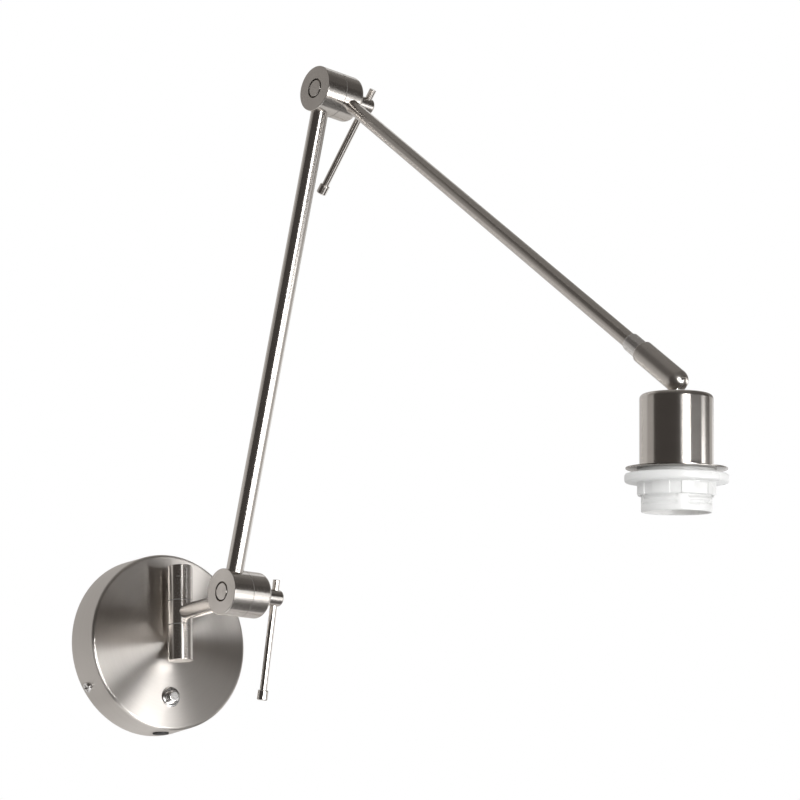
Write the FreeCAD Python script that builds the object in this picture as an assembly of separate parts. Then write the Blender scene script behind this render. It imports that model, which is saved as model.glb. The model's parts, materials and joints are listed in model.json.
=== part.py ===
import FreeCAD, Part
import math
import os

from FreeCAD import Vector

# Articulating wall lamp. Millimetres and degrees.
# Frame: the origin is the centre of the canopy's back face, on the wall. +Z is up, +X is to the
# right for someone facing the wall, and -Y points from the wall into the room.
# The linkage is drawn in the plane X = 0, pointing straight out of the wall, and is then swung
# about the post. A clock angle in that plane counts from straight up towards the room.

# ---------------------------------------------------------------- driving dimensions

running_clearance = 0.05      # radial, shaft in a hole that turns
fixed_clearance = 0.02        # radial, piece held still in a hole
screw_clearance = 0.2         # radial, screw through a plain hole
sliding_gap = 0.05            # between flat faces that turn against each other
edge_break = 0.4              # rounding of small turned edges

# canopy and what it carries
canopy_radius = 65.0          # at the wall
canopy_front_radius = 63.9    # at the face
canopy_depth = 28.2
canopy_wall = 1.2
canopy_edge_round = 2.2
bracket_plate_radius = 54.0
bracket_thickness = 1.5
bracket_cable_hole_radius = 22.0
bracket_slot_spacing = 80.0
bracket_slot_length = 14.0
bracket_slot_width = 4.5
bracket_tab_width = 12.0
bracket_tab_depth = 13.0
bracket_tab_gap = 0.3
rim_screw_angles = (31.0, 211.0)   # about the wall normal, from +X towards +Z
rim_screw_depth = 7.6
rim_screw_radius = 2.0
rim_screw_length = 8.0
rim_screw_head_radius = 3.75
rim_screw_head_height = 2.0
grommet_radius = 4.8
grommet_lip = 1.0
grommet_lip_height = 0.8
grommet_depth = 14.0
terminal_block_size = (16.0, 14.0, 31.0)
terminal_block_centre = (-33.0, 8.0)
terminal_pitch = 10.0
terminal_well_radius = 2.4
terminal_well_depth = 6.0
terminal_wire_radius = 1.6
terminal_screw_radius = 2.0
terminal_screw_height = 3.0
earth_screw_place = (-33.0, -22.0)
earth_screw_radius = 2.0
earth_screw_head_radius = 3.6
earth_screw_head_height = 2.4
earth_washer_radius = 4.6
earth_washer_thickness = 0.8

# push switch in the canopy's face
switch_edge_distance = 24.7   # of its middle from the canopy's lowest edge
switch_bezel_radius = 7.2
switch_bezel_height = 1.5
switch_bezel_round = 0.9
switch_bush_radius = 6.0
switch_bush_length = 8.0
switch_nut_flats = 16.0
switch_nut_thickness = 2.0
switch_body_radius = 9.5
switch_body_length = 14.0
switch_body_round = 1.0
switch_tag_size = (0.8, 5.0, 3.5)
switch_tag_offset = 4.0
button_radius = 4.6
button_round = 1.6
button_stand = 5.6            # how far the button stands out of the canopy's face
button_travel = 2.0
button_spare = 1.0            # left behind the button when it is pressed

# post with its swivel
arm_height = 18.4             # height of the stub arm and middle of the post
post_stand = 42.1             # from the wall to the post's axis
post_radius = 9.0
post_length = 69.0
post_end_round = 0.6
sleeve_length = 18.0
swivel_washer_thickness = 0.4
swivel_washer_inset = 0.2
spindle_radius = 4.0
spindle_bore_radius = 2.0
spindle_end_wall = 3.0
stud_offset = 22.0            # of each stud above and below the stub arm
stud_radius = 2.5
stud_engagement = 4.0         # in the post
stud_nut_flats = 8.0
stud_nut_thickness = 4.0
spacer_radius = 3.2

# arms
swing_angle = 4.5             # of the linkage's plane from the wall's normal
stub_length = 81.4            # post axis to lower elbow
stub_radius = 5.75
stub_wall = 1.2
stub_wire_radius = 3.0
lower_arm_length = 352.9      # elbow to elbow
lower_arm_clock = 18.75
lower_arm_radius = 6.1
lower_arm_wall = 1.2
upper_arm_length = 391.3      # elbow to ball
upper_arm_clock = 135.1
upper_arm_radius = 4.7
upper_arm_wall = 1.0

# elbows
knuckle_radius = 15.95
knuckle_half_length = 16.25
knuckle_wall = 2.8
knuckle_boss_radius = 7.5
knuckle_rear_round = 3.0
knuckle_front_round = 0.4
knuckle_rear_end_wall = 4.0
knuckle_front_end_wall = 8.0
friction_disc_thickness = 0.4
friction_disc_inset = 0.2
friction_disc_width = 2.3
bolt_cap_radius = 5.8
bolt_cap_height = 4.5
bolt_cap_groove = 1.2
bolt_radius = 4.0
bolt_reach = 9.0              # into the lever's hub

# clamp levers
lever_gap = 0.1               # hub to knuckle
hub_radius = 5.8
hub_length = 18.4
hub_round = 1.6
hub_bore_spare = 1.0
lever_offset = 13.9           # of the rod from the knuckle's rear face
lever_rod_radius = 2.5
lever_rod_short_end = 12.7
lever_reach = 71.3            # hub axis to the knob's far end
lever_knob_radius = 3.7
lever_knob_length = 7.0
lever_knob_round = 0.8
lever_rod_engagement = 4.5    # in the knob
lower_lever_clock = 193.0
upper_lever_clock = 225.5

# ball joint
collar_radius = 5.6
collar_start = 347.5          # along the upper arm from its elbow
collar_round = 0.6
collar_tube_socket = 7.5
spigot_length = 10.0
socket_radius = 6.8
socket_bore_radius = 5.3
socket_length = 32.2          # ball centre to the socket's back end
socket_back_round = 0.5
slot_width = 5.4
slot_tilts = (-28.0, 90.0)    # stem's reach in the slot, from the arm's line
ball_clearance = 0.08
pad_length = 6.0
pad_bore_radius = 2.0
spring_coil_radius = 3.9
spring_wire_radius = 0.5
spring_turns = 4.0
stem_tilt = 53.3              # of the stem from the arm's line
socket_roll = 4.1             # of the slot about the arm's line
stem_radius = 2.25
stem_thread_radius = 2.0
stem_wire_radius = 1.2

# head, by distance along its axis from the ball's centre
cup_radius = 20.5
cup_top = 7.8
cup_length = 41.3
cup_wall = 1.0
cup_top_wall = 1.5
cup_round = 2.8
stem_washer_radius = 5.0
stem_washer_thickness = 0.8
stem_nut_flats = 7.0
stem_nut_thickness = 3.2
stem_thread_spare = 1.5
bridge_drop = 12.2            # cup top to bridge
bridge_thickness = 1.5
bridge_hole_radius = 6.0
shade_plate_radius = 28.2
shade_plate_thickness = 0.9
skirt_neck_radius = 22.0
skirt_neck_height = 2.6
skirt_thread_radius = 19.6
skirt_length = 21.3           # neck to mouth
skirt_lip_wall = 1.2
skirt_collar_height = 5.0     # inside the cup
skirt_collar_wall = 2.0
shade_ring_radius = 28.8
shade_ring_flange = 5.0
shade_ring_collar_radius = 21.9
shade_ring_collar_length = 7.2
shade_ring_clearance = 0.3
shade_ring_grip_count = 8
shade_ring_grip_angle = 18.0  # width of each shallow recess round the collar
shade_ring_grip_depth = 0.75
shade_ring_grip_turn = 4.0    # of the first recess's middle from the tilt axis
shade_ring_round = 1.2
shade_ring_collar_round = 0.8
block_radius = 17.0
block_wall = 2.2
block_floor_start = 38.0
block_floor = 4.0
block_end = 66.0
screw_shell_radius = 13.35    # inside, for a 27 mm lamp cap
screw_shell_wall = 0.4
screw_shell_length = 18.0
screw_shell_stand = 3.0       # above the block's floor
holder_screw_offset = 10.5
holder_screw_radius = 1.5
holder_screw_head_radius = 2.3
holder_screw_head_height = 1.6
holder_post_radius = 3.2
contact_width = 6.0
contact_length = 12.0
contact_thickness = 0.6
contact_lift = 2.1
side_contact_width = 4.0
side_contact_thickness = 0.5

# ---------------------------------------------------------------- directions and frames

UP = Vector(0, 0, 1)
OUT = Vector(0, -1, 0)
ACROSS = Vector(1, 0, 0)
ORIGIN = Vector(0, 0, 0)


def clock(degrees):
    """Unit direction in the linkage's plane, from straight up towards the room."""
    turn = math.radians(degrees)
    return UP * math.cos(turn) + OUT * math.sin(turn)


def turned(direction, axis, degrees):
    return FreeCAD.Rotation(axis, degrees).multVec(direction)


def frame(origin, along, across):
    """Placement whose local Z is along and whose local X is across."""
    side = along.cross(across)
    matrix = FreeCAD.Matrix(across.x, side.x, along.x, origin.x,
                            across.y, side.y, along.y, origin.y,
                            across.z, side.z, along.z, origin.z,
                            0, 0, 0, 1)
    return FreeCAD.Placement(matrix)


def placed(shape, placement):
    copy = shape.copy()
    copy.Placement = placement.multiply(shape.Placement)
    return copy


post_point = OUT * post_stand + UP * arm_height
lower_elbow = post_point + OUT * stub_length
lower_arm_direction = clock(lower_arm_clock)
upper_elbow = lower_elbow + lower_arm_direction * lower_arm_length
upper_arm_direction = clock(upper_arm_clock)
ball_centre = upper_elbow + upper_arm_direction * upper_arm_length
tilt_axis = turned(ACROSS, upper_arm_direction, socket_roll)
stem_direction = turned(upper_arm_direction, tilt_axis, stem_tilt)

front_plane = ACROSS * -knuckle_half_length     # middle of the front halves; rear halves are at 0
face_across = -1.5 * knuckle_half_length
seam_across = -0.5 * knuckle_half_length
rear_across = 0.5 * knuckle_half_length

wall_frame = frame(ORIGIN, OUT, ACROSS)
socket_frame = frame(ball_centre, upper_arm_direction, tilt_axis)
head_frame = frame(ball_centre, stem_direction, tilt_axis)


# ---------------------------------------------------------------- shape helpers

def rod(radius, start, end):
    along = end - start
    return Part.makeCylinder(radius, along.Length, start, along)


def tube(outer, inner, start, end):
    return rod(outer, start, end).cut(rod(inner, start, end))


def disc(radius, low, high):
    """Cylinder about the local Z axis between two heights."""
    return Part.makeCylinder(radius, high - low, Vector(0, 0, low))


def ring(outer, inner, low, high):
    return disc(outer, low, high).cut(disc(inner, low, high))


def hexagon(flats, low, high):
    corner = flats / math.sqrt(3)
    turns = [math.radians(60 * i) for i in range(7)]
    outline = Part.makePolygon([Vector(corner * math.cos(t), corner * math.sin(t), low) for t in turns])
    return Part.Face(outline).extrude(Vector(0, 0, high - low))


def centred_box(width, depth, low, high):
    return Part.makeBox(width, depth, high - low, Vector(-width / 2, -depth / 2, low))


def rounded(shape, size, radius, centre):
    """Fillets the circular edges with this radius and centre."""
    picks = []
    for edge in shape.Edges:
        if edge.Degenerated or not isinstance(edge.Curve, Part.Circle):
            continue
        if abs(edge.Curve.Radius - radius) < 1e-5 and (edge.Curve.Center - centre).Length < 1e-5:
            picks.append(edge)
    return shape.makeFillet(size, picks)


def joined(shapes):
    return shapes[0].multiFuse(shapes[1:]).removeSplitter()


def without(shape, cutters):
    return shape.cut(Part.makeCompound(cutters))


# ---------------------------------------------------------------- canopy

def canopy_form(inset):
    """Solid inside of the canopy's outline, inset by a wall."""
    depth = canopy_depth - inset
    front = canopy_front_radius - inset
    solid = Part.makeCone(canopy_radius - inset, front, depth)
    return rounded(solid, canopy_edge_round - inset, front, Vector(0, 0, depth))


def rim_radius(depth):
    return canopy_radius + (canopy_front_radius - canopy_radius) * depth / canopy_depth


def rim_frame(angle, depth):
    """Frame on the canopy's rim, local Z pointing out of the rim."""
    turn = math.radians(angle)
    outward = ACROSS * math.cos(turn) + UP * math.sin(turn)
    return frame(outward * rim_radius(depth) + OUT * depth, outward, OUT)


def stud_heights():
    return (arm_height + stud_offset, arm_height - stud_offset)


def switch_height():
    return switch_edge_distance - canopy_radius


def canopy_shell():
    shell = placed(canopy_form(0).cut(canopy_form(canopy_wall)), wall_frame)
    switch_point = UP * switch_height()
    cutters = [rod(switch_bush_radius + fixed_clearance, switch_point, switch_point + OUT * 2 * canopy_depth)]
    for height in stud_heights():
        cutters.append(rod(stud_radius + screw_clearance, UP * height, UP * height + OUT * 2 * canopy_depth))
    for angle in rim_screw_angles:
        cutters.append(placed(disc(rim_screw_radius + screw_clearance, -rim_screw_length, 1),
                              rim_frame(angle, rim_screw_depth)))
    cutters.append(placed(disc(grommet_radius, -rim_screw_length, 1), rim_frame(-90, grommet_depth)))
    return without(shell, cutters)


def tab_face():
    """Distance of a bracket tab's outer face from the axis, clear of the canopy's inside."""
    inside = rim_radius(bracket_tab_depth) - canopy_wall - bracket_tab_gap
    return math.sqrt(inside ** 2 - (bracket_tab_width / 2) ** 2)


def wall_bracket():
    plate = disc(bracket_plate_radius, 0, bracket_thickness)
    face = tab_face()
    for angle in rim_screw_angles:
        arm = Part.makeBox(face - bracket_plate_radius / 2, bracket_tab_width, bracket_thickness,
                           Vector(bracket_plate_radius / 2, -bracket_tab_width / 2, 0))
        tab = Part.makeBox(bracket_thickness, bracket_tab_width, bracket_tab_depth,
                           Vector(face - bracket_thickness, -bracket_tab_width / 2, 0))
        arm.rotate(ORIGIN, UP, -angle)
        tab.rotate(ORIGIN, UP, -angle)
        plate = joined([plate, arm, tab])
    cutters = [disc(bracket_cable_hole_radius, -1, bracket_thickness + 1)]
    straight = bracket_slot_length - bracket_slot_width
    for side in (-1, 1):
        middle = side * bracket_slot_spacing / 2
        for end in (-1, 1):
            hole = disc(bracket_slot_width / 2, -1, bracket_thickness + 1)
            hole.translate(ACROSS * (middle + end * straight / 2))
            cutters.append(hole)
        slot = centred_box(straight, bracket_slot_width, -1, bracket_thickness + 1)
        slot.translate(ACROSS * middle)
        cutters.append(slot)
    plate = placed(without(plate, cutters), wall_frame)
    drills = [placed(disc(rim_screw_radius + fixed_clearance, -2 * rim_screw_length, 0),
                     rim_frame(angle, rim_screw_depth)) for angle in rim_screw_angles]
    drills.append(rod(earth_screw_radius + fixed_clearance, earth_point(),
                      earth_point() + OUT * 2 * bracket_thickness))
    return without(plate, drills)


def cross_recess(radius, top, depth):
    """Cutter for a cross-head drive in a screw's head."""
    blade = radius * 0.3
    bars = [centred_box(1.3 * radius, blade, top - depth, top + 1),
            centred_box(blade, 1.3 * radius, top - depth, top + 1)]
    return bars[0].fuse(bars[1])


def rim_screws():
    screws = []
    for angle in rim_screw_angles:
        head = disc(rim_screw_head_radius, 0, rim_screw_head_height)
        head = rounded(head, rim_screw_head_height * 0.45, rim_screw_head_radius,
                       Vector(0, 0, rim_screw_head_height))
        screw = head.fuse(disc(rim_screw_radius, -rim_screw_length, 0.5))
        screw = screw.cut(cross_recess(rim_screw_head_radius, rim_screw_head_height, 1.3))
        screws.append(placed(screw, rim_frame(angle, rim_screw_depth)))
    return Part.makeCompound([screw.cut(canopy_shell()).removeSplitter() for screw in screws])


def cable_grommet():
    lip = grommet_radius + grommet_lip
    body = disc(lip, -canopy_wall - grommet_lip_height, grommet_lip_height)
    body = rounded(body, edge_break, lip, Vector(0, 0, grommet_lip_height))
    return placed(body, rim_frame(-90, grommet_depth)).cut(canopy_shell()).removeSplitter()


def terminal_rows():
    """Screw places on the terminal block, across and along it."""
    width = terminal_block_size[0]
    return [(side * width / 4, step * terminal_pitch) for side in (-1, 1) for step in (-1, 0, 1)]


def terminal_frame():
    across, height = terminal_block_centre
    return frame(Vector(across, -bracket_thickness, height), OUT, ACROSS)


def terminal_block():
    width, depth, length = terminal_block_size
    block = centred_box(width, length, 0, depth)
    wells = []
    for across, along in terminal_rows():
        well = disc(terminal_well_radius, depth - terminal_well_depth, depth)
        well.translate(Vector(across, along, 0))
        wells.append(well)
    for step in (-1, 0, 1):
        start = Vector(-width / 2, step * terminal_pitch, depth / 3)
        wells.append(Part.makeCylinder(terminal_wire_radius, width, start, ACROSS))
    return placed(without(block, wells), terminal_frame())


def terminal_screws():
    depth = terminal_block_size[1]
    floor = depth - terminal_well_depth
    screws = []
    for across, along in terminal_rows():
        screw = disc(terminal_screw_radius, floor, floor + terminal_screw_height)
        slot = centred_box(3 * terminal_screw_radius, 0.6, floor + terminal_screw_height - 0.8,
                           floor + terminal_screw_height)
        screw = screw.cut(slot)
        screw.translate(Vector(across, along, 0))
        screws.append(placed(screw, terminal_frame()))
    return Part.makeCompound(screws)


def earth_point():
    return ACROSS * earth_screw_place[0] + UP * earth_screw_place[1]


def earth_screw():
    seat = bracket_thickness + earth_washer_thickness
    screw = disc(earth_screw_radius, 0, seat).fuse(
        disc(earth_screw_head_radius, seat, seat + earth_screw_head_height)).removeSplitter()
    screw = screw.cut(cross_recess(earth_screw_head_radius, seat + earth_screw_head_height, 1.2))
    return placed(screw, frame(earth_point(), OUT, ACROSS))


def earth_washer():
    washer = ring(earth_washer_radius, earth_screw_radius + screw_clearance,
                  bracket_thickness, bracket_thickness + earth_washer_thickness)
    return placed(washer, frame(earth_point(), OUT, ACROSS))


# ---------------------------------------------------------------- switch

switch_frame = frame(UP * switch_height(), OUT, ACROSS)
bush_end = canopy_depth - switch_bush_length


def switch_bezel():
    top = canopy_depth + switch_bezel_height
    head = rounded(disc(switch_bezel_radius, canopy_depth, top), switch_bezel_round, switch_bezel_radius,
                   Vector(0, 0, top))
    bezel = head.fuse(disc(switch_bush_radius, bush_end, canopy_depth)).removeSplitter()
    return placed(bezel.cut(disc(button_radius + running_clearance, bush_end, top)), switch_frame)


def switch_nut():
    top = canopy_depth - canopy_wall
    nut = hexagon(switch_nut_flats, top - switch_nut_thickness, top)
    return placed(nut.cut(disc(switch_bush_radius + fixed_clearance, 0, top)), switch_frame)


def button_back():
    """Depth of the button's guided inner end at rest."""
    return bush_end + button_travel + button_spare


def switch_body():
    low = bush_end - switch_body_length
    body = rounded(disc(switch_body_radius, low, bush_end), switch_body_round, switch_body_radius,
                   Vector(0, 0, low))
    tag_thickness, tag_width, tag_length = switch_tag_size
    for side in (-1, 1):
        tag = centred_box(tag_thickness, tag_width, low - tag_length, low)
        tag.translate(Vector(side * switch_tag_offset, 0, 0))
        body = body.fuse(tag)
    return placed(body.removeSplitter(), switch_frame)


def switch_button():
    top = canopy_depth + button_stand
    button = rounded(disc(button_radius, button_back(), top), button_round, button_radius, Vector(0, 0, top))
    return placed(button, switch_frame)


# ---------------------------------------------------------------- post

def post_part(low, high):
    """Upright piece of the post between two distances above the stub arm."""
    return rod(post_radius, post_point + UP * low, post_point + UP * high)


def spindle_ends():
    reach = post_length / 2 - spindle_end_wall
    return post_point - UP * reach, post_point + UP * reach


def post_segment(side):
    inner = side * sleeve_length / 2
    outer = side * post_length / 2
    segment = post_part(min(inner, outer), max(inner, outer))
    segment = rounded(segment, post_end_round, post_radius, post_point + UP * outer)
    low, high = spindle_ends()
    stud_start = UP * (arm_height + side * stud_offset)
    socket_end = post_stand - post_radius + stud_engagement
    stud_socket = rod(stud_radius + fixed_clearance, stud_start, stud_start + OUT * socket_end)
    return without(segment, [rod(spindle_radius + fixed_clearance, low, high), stud_socket])


def post_upper():
    return post_segment(1)


def post_lower():
    return post_segment(-1)


def post_spindle():
    low, high = spindle_ends()
    return tube(spindle_radius, spindle_bore_radius, low, high)


def swivel_washers():
    washers = []
    for side in (-1, 1):
        outer = side * (sleeve_length / 2 - sliding_gap)
        inner = side * (sleeve_length / 2 - sliding_gap - swivel_washer_thickness)
        washers.append(tube(post_radius - swivel_washer_inset, spindle_radius + running_clearance,
                            post_point + UP * min(inner, outer), post_point + UP * max(inner, outer)))
    return Part.makeCompound(washers)


def post_spacers():
    spacers = []
    for height in stud_heights():
        start = UP * height + OUT * canopy_depth
        spacer = tube(spacer_radius, stud_radius + screw_clearance, start, UP * height + OUT * post_stand)
        spacers.append(spacer.cut(post_part(-post_length, post_length)))
    return Part.makeCompound(spacers)


def post_studs():
    studs = []
    for height in stud_heights():
        start = UP * height + OUT * (canopy_depth - canopy_wall - stud_nut_thickness - 2)
        end = UP * height + OUT * (post_stand - post_radius + stud_engagement)
        studs.append(rod(stud_radius, start, end))
    return Part.makeCompound(studs)


def stud_nuts():
    nuts = []
    top = canopy_depth - canopy_wall
    for height in stud_heights():
        nut = hexagon(stud_nut_flats, top - stud_nut_thickness, top)
        nut = nut.cut(disc(stud_radius + fixed_clearance, 0, top))
        nuts.append(placed(nut, frame(UP * height, OUT, ACROSS)))
    return Part.makeCompound(nuts)


# ---------------------------------------------------------------- elbows

def tube_socket_depth():
    """Distance from an elbow's axis at which a tube's end sits in the knuckle's wall."""
    return knuckle_radius - knuckle_wall


def knuckle_half(elbow, seam_face, end_face, end_wall, across, direction, tube_radius):
    """Half knuckle open towards the seam, with a socket for the tube that leaves along direction."""
    toward_seam = 1 if seam_face > end_face else -1
    solid = rod(knuckle_radius, elbow + ACROSS * end_face, elbow + ACROSS * seam_face)
    cavity_end = end_face + toward_seam * end_wall
    cavity = tube(knuckle_radius - knuckle_wall, knuckle_boss_radius,
                  elbow + ACROSS * cavity_end, elbow + ACROSS * seam_face)
    start = elbow + ACROSS * across + direction * tube_socket_depth()
    socket = rod(tube_radius + fixed_clearance, start, start + direction * knuckle_radius)
    return solid, [cavity, socket]


def rear_knuckle(elbow, direction, tube_radius):
    seam = seam_across + friction_disc_thickness / 2
    solid, cutters = knuckle_half(elbow, seam, rear_across, knuckle_rear_end_wall, 0, direction, tube_radius)
    solid = rounded(solid, knuckle_rear_round, knuckle_radius, elbow + ACROSS * rear_across)
    cutters.append(rod(bolt_radius + running_clearance, elbow + ACROSS * seam, elbow + ACROSS * rear_across))
    return without(solid, cutters)


def front_knuckle(elbow, direction, tube_radius):
    seam = seam_across - friction_disc_thickness / 2 - sliding_gap
    solid, cutters = knuckle_half(elbow, seam, face_across, knuckle_front_end_wall,
                                  -knuckle_half_length, direction, tube_radius)
    solid = rounded(solid, knuckle_front_round, knuckle_radius, elbow + ACROSS * face_across)
    cap_seat = face_across + bolt_cap_height
    cutters.append(rod(bolt_cap_radius + bolt_cap_groove, elbow + ACROSS * face_across,
                       elbow + ACROSS * cap_seat))
    cutters.append(rod(bolt_radius + fixed_clearance, elbow + ACROSS * face_across, elbow + ACROSS * seam))
    return without(solid, cutters)


def friction_disc(elbow):
    outer = knuckle_radius - friction_disc_inset
    half = friction_disc_thickness / 2
    return tube(outer, outer - friction_disc_width, elbow + ACROSS * (seam_across - half),
                elbow + ACROSS * (seam_across + half))


def pivot_bolt(elbow):
    face = elbow + ACROSS * face_across
    cap_seat = face + ACROSS * bolt_cap_height
    end = elbow + ACROSS * (rear_across + lever_gap + bolt_reach)
    cap = rounded(rod(bolt_cap_radius, face, cap_seat), edge_break, bolt_cap_radius, face)
    return cap.fuse(rod(bolt_radius, cap_seat, end)).removeSplitter()


# ---------------------------------------------------------------- clamp levers

def lever_hub(elbow, direction):
    start = elbow + ACROSS * (rear_across + lever_gap)
    end = elbow + ACROSS * (rear_across + hub_length)
    hub = rounded(rod(hub_radius, start, end), hub_round, hub_radius, end)
    bore = rod(bolt_radius + running_clearance, start, start + ACROSS * (bolt_reach + hub_bore_spare))
    middle = elbow + ACROSS * (rear_across + lever_offset)
    cross_hole = rod(lever_rod_radius + fixed_clearance, middle - direction * hub_radius * 2,
                     middle + direction * hub_radius * 2)
    return without(hub, [bore, cross_hole])


def knob_start():
    return lever_reach - lever_knob_length


def lever_rod(elbow, direction):
    middle = elbow + ACROSS * (rear_across + lever_offset)
    short_end = middle - direction * lever_rod_short_end
    bar = rod(lever_rod_radius, short_end, middle + direction * (knob_start() + lever_rod_engagement))
    return rounded(bar, edge_break, lever_rod_radius, short_end)


def lever_knob(elbow, direction):
    middle = elbow + ACROSS * (rear_across + lever_offset)
    start = middle + direction * knob_start()
    end = middle + direction * lever_reach
    knob = rod(lever_knob_radius, start, end)
    knob = rounded(knob, lever_knob_round, lever_knob_radius, start)
    knob = rounded(knob, lever_knob_round, lever_knob_radius, end)
    return knob.cut(rod(lever_rod_radius + fixed_clearance, start, start + direction * lever_rod_engagement))


# ---------------------------------------------------------------- arms

def swivel_sleeve():
    half = sleeve_length / 2 - sliding_gap - swivel_washer_thickness
    sleeve = post_part(-half, half)
    low, high = spindle_ends()
    socket_start = post_point + OUT * (post_radius - knuckle_wall)
    cutters = [rod(spindle_radius + running_clearance, low, high),
               rod(stub_radius + fixed_clearance, socket_start, post_point + OUT * 2 * post_radius),
               rod(stub_wire_radius, post_point, socket_start)]
    return without(sleeve, cutters)


def arm_tube(radius, wall, start, end):
    return tube(radius, radius - wall, start, end)


def stub_tube():
    return arm_tube(stub_radius, stub_wall, post_point + OUT * (post_radius - knuckle_wall),
                    lower_elbow - OUT * tube_socket_depth())


def lower_arm_tube():
    inset = lower_arm_direction * tube_socket_depth()
    return arm_tube(lower_arm_radius, lower_arm_wall, lower_elbow + front_plane + inset,
                    upper_elbow + front_plane - inset)


def upper_arm_point(distance):
    return upper_elbow + upper_arm_direction * distance


def collar_end():
    return upper_arm_length - socket_length


def upper_arm_tube():
    return arm_tube(upper_arm_radius, upper_arm_wall, upper_arm_point(tube_socket_depth()),
                    upper_arm_point(collar_start + collar_tube_socket))


def arm_end_collar():
    start = upper_arm_point(collar_start)
    step = upper_arm_point(collar_end())
    end = upper_arm_point(collar_end() + spigot_length)
    collar = rounded(rod(collar_radius, start, step), collar_round, collar_radius, start)
    collar = collar.fuse(rod(socket_bore_radius - running_clearance, step, end)).removeSplitter()
    socket_end = upper_arm_point(collar_start + collar_tube_socket)
    return without(collar, [rod(upper_arm_radius + fixed_clearance, start, socket_end),
                            rod(upper_arm_radius - upper_arm_wall, start, end)])


# ---------------------------------------------------------------- ball joint

def slot_cutter():
    """Slot for the stem: a sector about the ball with a round end at each limit of the tilt."""
    low, high = slot_tilts
    reach = 2 * socket_radius
    begin = Vector(0, 0, 1)
    cutters = []
    for tilt in slot_tilts:
        along = turned(begin, ACROSS, tilt)
        cutters.append(Part.makeCylinder(slot_width / 2, reach, ORIGIN, along))
    span = [turned(begin, ACROSS, low + (high - low) * i / 8) * reach for i in range(9)]
    outline = Part.makePolygon([ORIGIN] + span + [ORIGIN])
    sector = Part.Face(outline).extrude(ACROSS * slot_width)
    sector.translate(ACROSS * (-slot_width / 2))
    return [sector] + cutters


def ball_radius():
    return socket_bore_radius - ball_clearance


def ball_socket():
    outer = joined([disc(socket_radius, -socket_length, 0), Part.makeSphere(socket_radius)])
    outer = rounded(outer, socket_back_round, socket_radius, Vector(0, 0, -socket_length))
    cutters = [disc(socket_bore_radius, -socket_length, 0), Part.makeSphere(socket_bore_radius)]
    return placed(without(outer, cutters + slot_cutter()), socket_frame)


def pad_back():
    return -ball_radius() - pad_length


def pressure_pad():
    pad = disc(socket_bore_radius - running_clearance, pad_back(), -ball_radius() / 2)
    return placed(without(pad, [Part.makeSphere(ball_radius() + running_clearance),
                                disc(pad_bore_radius, pad_back(), 0)]), socket_frame)


def ball_spring():
    low = -socket_length + spigot_length + spring_wire_radius
    high = pad_back() - spring_wire_radius
    pitch = (high - low) / spring_turns
    helix = Part.makeHelix(pitch, high - low, spring_coil_radius)
    start = Part.Circle(Vector(spring_coil_radius, 0, 0), Vector(0, 1, 0), spring_wire_radius)
    profile = Part.Wire([start.toShape()])
    coil = Part.Wire(helix.Edges).makePipeShell([profile], True, True)
    coil.translate(Vector(0, 0, low))
    return placed(coil, socket_frame)


def ball_stem():
    thread_end = cup_top + cup_top_wall + stem_washer_thickness + stem_nut_thickness + stem_thread_spare
    stem = joined([Part.makeSphere(ball_radius()), disc(stem_radius, 0, cup_top),
                   disc(stem_thread_radius, cup_top, thread_end)])
    return placed(stem.cut(disc(stem_wire_radius, -2 * ball_radius(), thread_end)), head_frame)


def stem_washer():
    low = cup_top + cup_top_wall
    return placed(ring(stem_washer_radius, stem_thread_radius + fixed_clearance, low,
                       low + stem_washer_thickness), head_frame)


def stem_nut():
    low = cup_top + cup_top_wall + stem_washer_thickness
    nut = hexagon(stem_nut_flats, low, low + stem_nut_thickness)
    return placed(nut.cut(disc(stem_thread_radius + fixed_clearance, 0, 2 * low)), head_frame)


# ---------------------------------------------------------------- head

cup_bottom = cup_top + cup_length
bridge_low = cup_top + bridge_drop
bridge_high = bridge_low + bridge_thickness
neck_low = cup_bottom + shade_plate_thickness
neck_high = neck_low + skirt_neck_height
mouth = neck_high + skirt_length
floor_low = block_floor_start
floor_high = block_floor_start + block_floor
shell_low = floor_high + screw_shell_stand
skirt_collar_radius = cup_radius - cup_wall - fixed_clearance


def cup_shell():
    outer = rounded(disc(cup_radius, cup_top, cup_bottom), cup_round, cup_radius, Vector(0, 0, cup_top))
    ceiling = cup_top + cup_top_wall
    inner_radius = cup_radius - cup_wall
    inner = rounded(disc(inner_radius, ceiling, cup_bottom), cup_round - cup_wall, inner_radius,
                    Vector(0, 0, ceiling))
    stem_hole = disc(stem_thread_radius + running_clearance, 0, ceiling)
    return placed(without(outer, [inner, stem_hole]), head_frame)


def holder_screw_places():
    return [Vector(0, side * holder_screw_offset, 0) for side in (-1, 1)]


def at_holder_screws(shape):
    copies = []
    for place in holder_screw_places():
        copy = shape.copy()
        copy.translate(place)
        copies.append(copy)
    return copies


def cup_bridge():
    bridge = ring(cup_radius - cup_wall - fixed_clearance, bridge_hole_radius, bridge_low, bridge_high)
    holes = at_holder_screws(disc(holder_screw_radius + fixed_clearance, bridge_low, bridge_high))
    return placed(without(bridge, holes), head_frame)


def contact_block():
    inner = block_radius - block_wall
    seat = screw_shell_radius + screw_shell_wall + fixed_clearance
    block = disc(block_radius, bridge_high, block_end)
    block = without(block, [disc(inner, bridge_high, floor_low), disc(seat, floor_high, block_end)])
    posts = at_holder_screws(disc(holder_post_radius, bridge_high, floor_low))
    block = joined([block] + posts)
    holes = at_holder_screws(disc(holder_screw_radius + screw_clearance, bridge_high, floor_high))
    return placed(without(block, holes), head_frame)


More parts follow.
